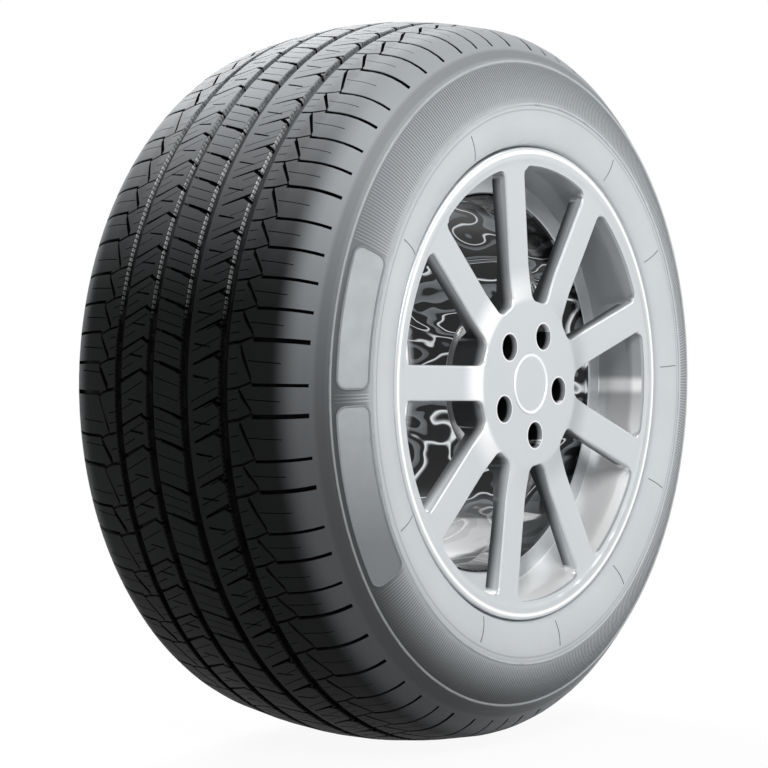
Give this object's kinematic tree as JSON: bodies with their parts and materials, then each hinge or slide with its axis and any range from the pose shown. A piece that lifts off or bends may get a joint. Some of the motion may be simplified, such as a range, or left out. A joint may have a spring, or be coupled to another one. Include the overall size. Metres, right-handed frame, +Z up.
{
  "type": "car tyre on alloy wheel",
  "caption": "Wide road tyre mounted on a silver multi-spoke alloy wheel with centre cap and valve, standing on its tread.",
  "frame": {"origin": "centre of the wheel: on the axle, midway between the two flanges of the rim", "axes": "+Y along the axle from the outer face towards the car, so the spokes face -Y; +Z up with the tread standing on the floor; +X to the right when the outer face is seen"},
  "size_m": [0.69, 0.3164, 0.6881],
  "materials": {
    "tyre": "matt moulded rubber",
    "wheel": "silver lacquered casting",
    "centre_cap": "silver painted",
    "valve_rubber": "matt",
    "brass": "turned",
    "valve_cap": "moulded"
  },
  "bodies": {
    "root": {"tyre": "tyre", "wheel": "wheel", "centre_cap": "centre_cap", "valve_stem": "valve_rubber", "valve_core": "brass", "valve_cap": "valve_cap"}
  },
  "joints": []
}
